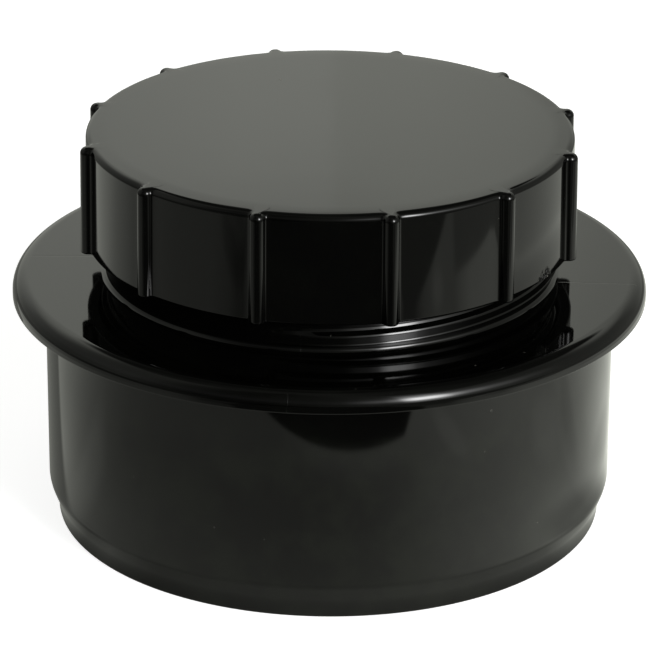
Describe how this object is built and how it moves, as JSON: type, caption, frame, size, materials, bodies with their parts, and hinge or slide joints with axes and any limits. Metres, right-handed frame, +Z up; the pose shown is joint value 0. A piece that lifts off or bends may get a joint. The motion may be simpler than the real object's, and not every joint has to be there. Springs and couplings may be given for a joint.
{
  "type": "pipe access cap",
  "caption": "Round flanged drain-pipe plug whose threaded neck is closed by a flat-topped, ribbed screw cap on a flat seal.",
  "frame": {"origin": "centre of the spigot's bottom rim, on the common axis", "axes": "+Z up along the common axis, from the spigot to the screw cap; -Y is the front of the picture; +X is to its right"},
  "size_m": [0.1226, 0.1226, 0.0776],
  "materials": {
    "body_plastic": "glossy moulded black plastic",
    "cap_plastic": "glossy moulded black plastic",
    "seal_rubber": "matt black rubber"
  },
  "bodies": {
    "access_body": {"access_body": "body_plastic"},
    "seal_ring": {"seal_ring": "seal_rubber"},
    "screw_cap": {"screw_cap": "cap_plastic"}
  },
  "joints": [
    {"name": "cap_rise", "type": "slide", "parent": "access_body", "child": "seal_ring", "axis": [0, 0, 1], "range_m": [0, 0.0168]},
    {"name": "cap_turn", "type": "hinge", "parent": "seal_ring", "child": "screw_cap", "pos_m": [0, 0, 0.0664], "axis": [0, 0, 1], "range_deg": [0, 1200]}
  ],
  "couplings": [
    {"joint": "cap_rise", "follows": "cap_turn", "m_per_rad": 0.00079577}
  ]
}
